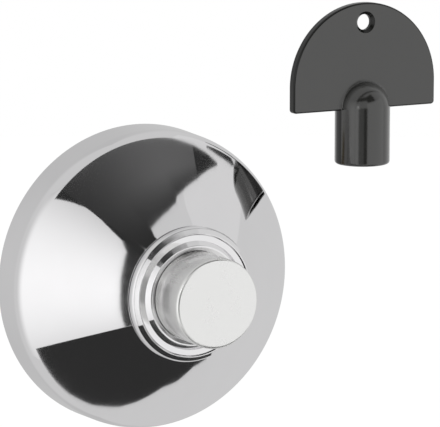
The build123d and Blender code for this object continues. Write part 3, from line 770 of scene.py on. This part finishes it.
def key_fillet(sizes):
    """The hollow between the stem and each face of the bow, a closed bead along a half circle.

    At an angle along the half circle its section is a hollow quarter circle from the face to the
    stem. Its radius shrinks to its least at both ends. The other two corners of the section lie
    inside the key.
    """
    start, end = HOLLOW_ENDS
    along = np.linspace(start, end, HOLLOW_STEPS)
    rise, fall = smooth(start, start + HOLLOW_FADE, along), smooth(end, end - HOLLOW_FADE, along)
    radius = sizes.fillet * rise * fall + HOLLOW_LEAST
    half = sizes.bow_height / 2
    root = np.sqrt(STEM_RADIUS**2 - half**2)
    stem = np.sqrt(STEM_RADIUS**2 - (half + radius) ** 2)
    turn = QUARTER[:, None]
    reach = stem + (root + radius - stem) * (1 - np.sin(turn))
    depth = half + radius * (1 - np.cos(turn))
    reach = np.concatenate([reach, [stem - HOLLOW_ROOT, root + radius]])
    depth = np.concatenate([depth, [depth[-1], 0 * radius + half - HOLLOW_ROOT]])
    cos, sin = np.cos(np.radians(along)), np.sin(np.radians(along))
    rows, columns = reach.shape
    ends = np.arange(rows) * columns
    faces = grid(rows, columns, open_columns=1)
    faces += [ends.tolist(), (ends + columns - 1)[::-1].tolist()]
    side, up = KEY_X + reach * cos, dome_height(sizes) + reach * sin
    front = together(side, KEY_Y - depth, up).reshape(-1, 3)
    back = front * (1, -1, 1) + (0, 2 * KEY_Y, 0)
    behind = [[index + rows * columns for index in face] for face in faces]
    faces = [face[::-1] for face in faces] + behind
    return put_mesh("key_fillet", np.concatenate([front, back]), faces)


class MIXER_OT_key(Dresser):
    """Make the key: its flat bow, its domed stem, and the hollow between them"""

    bl_idname = "mixer.key"
    bl_label = "Key"

    def execute(self, context):
        sizes = context.scene.mixer_key
        tones = context.scene.mixer_finishes
        plastic = key_plastic(tones.key, tones.key_roughness, sizes.bow_height / 2)
        for piece in (key_bow(sizes), key_stem(sizes), key_fillet(sizes)):
            finished(piece, plastic, "key", "key_plastic", "key")
        return {"FINISHED"}


class MIXER_OT_springs(Dresser):
    """Make the springs of the check valves"""

    bl_idname = "mixer.springs"
    bl_label = "Springs"

    def execute(self, context):
        sizes = context.scene.mixer_springs
        tones = context.scene.mixer_finishes
        steel = machined_metal("spring_steel", tones.stainless_steel, **STEEL)
        for side in ("hot", "cold"):
            node, joint = f"{side}_check_spring", f"{side}_check_lift"
            lowest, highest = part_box(node)
            spring = coil(f"{side}_spring_coil", lowest, highest, sizes)
            finished(spring, steel, "valve", "stainless_steel", node)
            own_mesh(spring)
        return {"FINISHED"}


# Pieces behind the plate and under the cap: what makes their finish, its name, which is also that
# of its colour, its numbers, and the nodes that have it
HIDDEN = (
    (cast_metal, "cast_brass", {}, ("valve_body",)),
    (machined_metal, "turned_brass", {"roughness": 0.26, "pitch": 0.15 * MM}, (
        "outlet_plug", "cartridge_nut", "spindle", "spindle_extension",
    )),
    (machined_metal, "stainless_steel", STEEL, (
        "hot_inlet_filter", "cold_inlet_filter", "spindle_clip", "bush_clip", "extension_screw",
    )),
    (soft_rubber, "black_rubber", {}, (
        "escutcheon_seal", "collar_gasket", "cap_o_ring", "sleeve_gasket", "cartridge_o_ring",
        "spindle_o_rings", "inlet_seals",
    )),
    (moulded_plastic, "vulcanised_fibre", {
        "roughness": 0.6, "grain": 0.4 * MM, "depth": 0.02 * MM, "patch": 0.3,
    }, ("plug_washer",)),
    (moulded_plastic, "white_acetal", {"roughness": 0.35, "depth": 0.004 * MM}, (
        "cartridge_base", "disc_carrier", "guide_bush", "hot_check_housing",
        "cold_check_housing", "hot_check_poppet", "cold_check_poppet",
    )),
    (moulded_plastic, "grey_plastic", {"roughness": 0.4, "patch": 0.08}, ("cartridge_housing",)),
    (moulded_plastic, "stop_plastic", {"roughness": 0.38, "patch": 0.1}, ("stop_ring",)),
    (moulded_plastic, "ceramic", {
        "roughness": 0.18, "grain": 0.2 * MM, "depth": 0.002 * MM,
    }, ("fixed_disc", "moving_disc")),
)


class MIXER_OT_inside(Dresser):
    """Finish the pieces behind the plate and under the cap"""

    bl_idname = "mixer.inside"
    bl_label = "Inside"

    def execute(self, context):
        tones = context.scene.mixer_finishes
        tone = scaled(tones.chrome, factor=0.93)
        dress(bright_chrome("sleeve_chrome", tone, roughness=0.12), "guide_sleeve")
        for make, name, numbers, nodes in HIDDEN:
            dress(make(name, getattr(tones, name), **numbers), *nodes)
        return {"FINISHED"}


# Stage

CAMERA_PLACE = (-655.94 * MM, -1305.58 * MM, 286.26 * MM)
CAMERA_RIGHT = (0.8805, -0.4740, 0.0)
CAMERA_UP = (0.0818, 0.1520, 0.9850)
CAMERA_LENS = 245.45
SENSOR_WIDTH = 36

# How far outside the dome's radius the paper, the pale cards and the nearer cards stand
PAPER_GAP, PALE_GAP, NEAR_GAP = 0.06, 0.03, 0.02

# Dark cards, named by where their reflection falls on the cone: name, level, a lighter patch as
# light, angle and spread, and stations of (angle seen by the user, with 0 at the right and 90 on
# top, in degrees, then the inner and the outer radius in mm)
NO_PATCH = (0, 0, 1)
DARK_CARDS = (
    ("tip_card", 0.028, NO_PATCH, ((62, 63.8, 64.6), (67.5, 59.5, 67.2), (74.6, 54, 69))),
    ("upper_card", 0.028, (0.095, 88, 34), (
        (74.4, 54, 69), (85.5, 48.2, 71), (91, 45.8, 71.5), (93.5, 43, 71.8), (101, 40.6, 72.2),
        (109.5, 39, 72.7), (119.5, 37.5, 73), (121.2, 34.9, 73), (136, 33, 73),
    )),
    ("arc_card", 0.02, NO_PATCH, (
        (47, 70.5, 72.2), (54, 67.8, 72.4), (61, 68.4, 72.2), (67.5, 69.8, 70.8),
    )),
    ("corner_card", 0.03, NO_PATCH, ((135.8, 59.5, 73.5), (138, 66, 73.5), (140.5, 71.5, 73))),
    ("band_card", 0.03, NO_PATCH, (
        (135.8, 31.5, 59.7), (136.5, 31.5, 52.5), (139.5, 31.5, 41.7), (144.5, 31.5, 38.3),
        (153, 31.5, 37.2), (172, 31.5, 36), (202, 31.5, 36),
    )),
    ("streak_card", 0.05, (0.6, 100, 14), ((100, 24, 31.5), (141, 24, 31.5))),
    ("lower_card", 0.03, NO_PATCH, (
        (202.2, 22, 71.2), (226, 22, 70.3), (237, 22, 68.2), (247.5, 22, 63.8), (253, 22, 59),
        (261.5, 22, 49), (268.5, 22, 45.5), (276.5, 22, 37.5), (287, 22, 34.5),
    )),
)
# Cards in front of the valve: name, azimuths and elevations in degrees, level and gap
FRONT_CARDS = (
    ("middle_card", (-36, 3), (-18, 12), 0.31, PALE_GAP),
    ("white_card", (3, 70), (-48, 30), 0.92, PALE_GAP),
    ("right_card", (55, 92), (10, 56), 0.73, PALE_GAP),
    ("ceiling_card", (-36, 8), (41, 54.5), 0.03, NEAR_GAP),
    ("floor_card", (-36, 14), (-62, -50), 0.03, NEAR_GAP),
    ("right_floor", (14, 60), (-74, -50), 0.15, NEAR_GAP),
    ("gap_card", (-11, 2), (-9, 12), 0.02, NEAR_GAP),
    ("stem_light", (-42, -33), (11, 22), 2, NEAR_GAP),
    ("upper_shade", (8, 44), (32, 54), 0.03, NEAR_GAP),
    ("lower_shade", (18, 60), (-47, -28), 0.04, NEAR_GAP),
)
# Points of a patch of the dome both ways, and of a dark card between stations and across
PATCH_COLUMNS, PATCH_ROWS = 72, 36
STATION_STEPS, CARD_COLUMNS = 6, 12
# The shares of a dark card's width between which its lighter patch comes up
PATCH_RISE = (-0.1, 0.5)

# The grey paper grows dimmer between these azimuths, towards the back
PAPER_DIM, PAPER_BACK = 0.10, (120, 165)
# The soft box: its azimuths and elevations, the azimuths over which it comes up, and how much it
# dims at how far from its middle elevation
SOFT_BOX = ((-118, -36), (-44, 48))
BOX_EDGE = (-112, -62)
BOX_DIM, BOX_REACH, BOX_MIDDLE = 0.2, 32, -2

# The floor: radii of its rows, points round, and tone
FLOOR_ROWS, FLOOR_TURNS, FLOOR_TONE = (0.01, 0.4, 1.2, 2.5, 4.5), 96, (0.8, 0.8, 0.8)
# The lamp: azimuth and elevation in degrees, distance and size
LAMP_BEARING, LAMP_DISTANCE, LAMP_SIZE = (-48, 42), 1.9, 1.2


def seen_in_cone(turn, radius, sizes, dome):
    """Points of the dome that the camera sees mirrored in the cone, at those angles and radii.

    The cone's normal is (n_r cos a, -n_out, n_r sin a). The ray d from the camera leaves as
    d - 2 (d . n) n, and it meets the dome, a sphere about the origin, at distance
    -p . r + sqrt((p . r)^2 - p . p + dome^2) from the cone's point p.
    """
    run, climb, slope = cone_slope(sizes)
    point = about_axis(radius, CONE_TOP - (radius - COLLAR_RADIUS) * climb / run, turn)
    normal = about_axis(climb, run, turn) / slope
    ray = point - np.array(CAMERA_PLACE)
    ray = ray / np.linalg.norm(ray, axis=-1, keepdims=True)
    ray = ray - 2 * (ray * normal).sum(-1, keepdims=True) * normal
    along = (point * ray).sum(-1, keepdims=True)
    reach = np.sqrt(along**2 - (point * point).sum(-1, keepdims=True) + dome**2) - along
    return point + reach * ray


def patch_grid(sides, heights):
    """Azimuths and elevations of a grid over a patch of the dome, in degrees."""
    return np.meshgrid(
        np.linspace(*sides, PATCH_COLUMNS), np.linspace(*heights, PATCH_ROWS), indexing="ij"
    )


def on_dome(azimuth, elevation, dome):
    """Points at an azimuth, 0 at the user and 90 at the right, and an elevation, in degrees.

    They are dome * (cos e sin a, -cos e cos a, sin e).
    """
    azimuth, elevation = np.radians(azimuth), np.radians(elevation)
    level = np.cos(elevation)
    return dome * together(
        level * np.sin(azimuth), -level * np.cos(azimuth), np.sin(elevation)
    )


def glowing(name, points, glow):
    """A grid of points that only mirrors see, shining with the level given for each point."""
    sheet = put_mesh(name, points, grid(*glow.shape, open_rows=1, open_columns=1))
    levels = sheet.data.attributes.new("glow", "FLOAT", "POINT")
    levels.data.foreach_set("value", glow.ravel().astype(np.float32))
    shader = new_finish(name)
    level = shader.node("ShaderNodeAttribute", {"attribute_name": "glow"}, output="Fac")
    light = shader.node("ShaderNodeEmission", values={"Color": WHITE, "Strength": level})
    material = shader.close(light)
    material.cycles.emission_sampling = "NONE"
    sheet.data.materials.append(material)
    for unseen in ("visible_camera", "visible_diffuse", "visible_shadow", "visible_transmission"):
        setattr(sheet, unseen, False)


def dark_card(name, level, patch, stations, sizes, dome):
    """A dark card, with a lighter patch where its reflection has a given angle on the cone.

    The level is level + light * smooth(share) * exp(-((angle - at) / spread)^2), where share runs
    from 0 at the inner radius to 1 at the outer one.
    """
    light, at, spread = patch
    knots = np.arange(len(stations))
    between = np.linspace(0, knots[-1], STATION_STEPS * knots[-1] + 1)
    columns = np.array(stations, float).T
    angle, inner, outer = (np.interp(between, knots, column)[:, None] for column in columns)
    share = np.linspace(0, 1, CARD_COLUMNS)
    radius = (inner + (outer - inner) * share) * MM
    glow = level + light * smooth(*PATCH_RISE, share) * np.exp(-(((angle - at) / spread) ** 2))
    glowing(name, seen_in_cone(np.radians(angle), radius, sizes, dome), glow)


class MIXER_OT_stage(Dresser):
    """Set up the pale floor, the soft light, the reflected cards and the camera"""

    bl_idname = "mixer.stage"
    bl_label = "Stage"

    def execute(self, context):
        stage = context.scene.mixer_stage
        for card in DARK_CARDS:
            dark_card(*card, context.scene.mixer_plate, stage.dome)
        self.add_surroundings(stage)
        self.add_floor(stage)
        self.add_lamp(context.scene, stage)
        self.add_daylight(context.scene, stage.daylight)
        self.add_camera(context.scene)
        context.scene.view_settings.view_transform = "Standard"
        return {"FINISHED"}

    def add_surroundings(self, stage):
        """Grey paper all round, a soft box at the left, and cards in front and at the right."""
        azimuth, elevation = patch_grid((-180, 180), (-90, 90))
        glow = stage.paper - PAPER_DIM * smooth(*PAPER_BACK, np.abs(azimuth))
        glowing("grey_paper", on_dome(azimuth, elevation, stage.dome + PAPER_GAP), glow)
        azimuth, elevation = patch_grid(*SOFT_BOX)
        box = stage.soft_box - BOX_DIM * ((elevation - BOX_MIDDLE) / BOX_REACH) ** 2
        glow = stage.paper + (box - stage.paper) * smooth(*BOX_EDGE, azimuth)
        glowing("soft_box", on_dome(azimuth, elevation, stage.dome + PALE_GAP), glow)
        for name, sides, heights, level, gap in FRONT_CARDS:
            azimuth, elevation = patch_grid(sides, heights)
            glow = np.full_like(azimuth, level)
            glowing(name, on_dome(azimuth, elevation, stage.dome + gap), glow)

    def add_floor(self, stage):
        """A pale floor that keeps the shadow, and looks white to the camera and to mirrors.

        It is a disc of points (r cos a, r sin a, height), and its underside is seen through.
        """
        angle = np.linspace(0, 2 * np.pi, FLOOR_TURNS, endpoint=False)
        radius = np.array(FLOOR_ROWS)[:, None]
        points = together(radius * np.cos(angle), radius * np.sin(angle), -stage.floor_drop)
        faces = grid(len(radius), FLOOR_TURNS, open_rows=1) + [list(range(FLOOR_TURNS))]
        floor = put_mesh("floor", points, faces)
        shader = new_finish("pale_floor")
        paper = shader.node("ShaderNodeBsdfDiffuse", values={"Color": FLOOR_TONE})
        strength = stage.floor_glow * shader.seen()
        glow = shader.node("ShaderNodeEmission", values={"Color": WHITE, "Strength": strength})
        lit = shader.node("ShaderNodeAddShader", values={0: paper, 1: glow})
        through = shader.node("ShaderNodeBsdfTransparent")
        under = shader.node("ShaderNodeNewGeometry", output="Backfacing")
        mixed = shader.node("ShaderNodeMixShader", values={0: under, 1: lit, 2: through})
        floor.data.materials.append(shader.close(mixed))

    def add_lamp(self, scene, stage):
        """One large soft lamp, high at the left, that mirrors don't see."""
        light = bpy.data.lights.new("soft_lamp", "AREA")
        light.shape = "DISK"
        light.size = LAMP_SIZE
        light.energy = stage.lamp
        lamp = bpy.data.objects.new("soft_lamp", light)
        scene.collection.objects.link(lamp)
        lamp.location = on_dome(*LAMP_BEARING, LAMP_DISTANCE)
        lamp.rotation_euler = (-Vector(lamp.location)).to_track_quat("-Z", "Y").to_euler()
        lamp.visible_glossy = False
        lamp.visible_camera = False

    def add_daylight(self, scene, level):
        """White all round for the camera and mirrors, and a plain level of light for the rest."""
        shader = Shader(bpy.data.worlds.new("daylight"))
        strength = level + (1 - level) * shader.seen()
        sky = shader.node("ShaderNodeBackground", values={"Color": WHITE, "Strength": strength})
        scene.world = shader.close(sky, "ShaderNodeOutputWorld")

    def add_camera(self, scene):
        """The camera of the photograph: level, to the valve's left and a little above it."""
        lens = bpy.data.cameras.new("camera")
        lens.lens = CAMERA_LENS
        lens.sensor_width = SENSOR_WIDTH
        camera = bpy.data.objects.new("camera", lens)
        scene.collection.objects.link(camera)
        right, up = Vector(CAMERA_RIGHT), Vector(CAMERA_UP)
        axes = Matrix((right, up, right.cross(up))).transposed()
        camera.matrix_world = Matrix.Translation(CAMERA_PLACE) @ axes.to_4x4()
        scene.camera = camera


class MIXER_PT_panel(bpy.types.Panel):
    """Lists the steps"""

    bl_label = "Mixer valve"
    bl_idname = "MIXER_PT_panel"
    bl_space_type = "VIEW_3D"
    bl_region_type = "UI"
    bl_category = "Mixer valve"

    def draw(self, context):
        for step in STEPS:
            self.layout.operator(step.bl_idname)


SETTINGS = {
    "mixer_plate": PlateSettings,
    "mixer_collar": CollarSettings,
    "mixer_cap": CapSettings,
    "mixer_key": KeySettings,
    "mixer_springs": SpringSettings,
    "mixer_finishes": FinishSettings,
    "mixer_stage": StageSettings,
}
STEPS = (
    MIXER_OT_stage,
    MIXER_OT_plate,
    MIXER_OT_collar,
    MIXER_OT_cap,
    MIXER_OT_key,
    MIXER_OT_springs,
    MIXER_OT_inside,
)


def register():
    """Register the settings, the steps and the panel."""
    for name, group in SETTINGS.items():
        bpy.utils.register_class(group)
        setattr(bpy.types.Scene, name, PointerProperty(type=group))
    for step in STEPS:
        bpy.utils.register_class(step)
    bpy.utils.register_class(MIXER_PT_panel)


def unregister():
    """Undo register."""
    bpy.utils.unregister_class(MIXER_PT_panel)
    for step in reversed(STEPS):
        bpy.utils.unregister_class(step)
    for name, group in reversed(SETTINGS.items()):
        delattr(bpy.types.Scene, name)
        bpy.utils.unregister_class(group)


def main():
    """Run every step."""
    register()
    for step in STEPS:
        group, name = step.bl_idname.split(".")
        getattr(getattr(bpy.ops, group), name)()


if __name__ == "__main__":
    main()
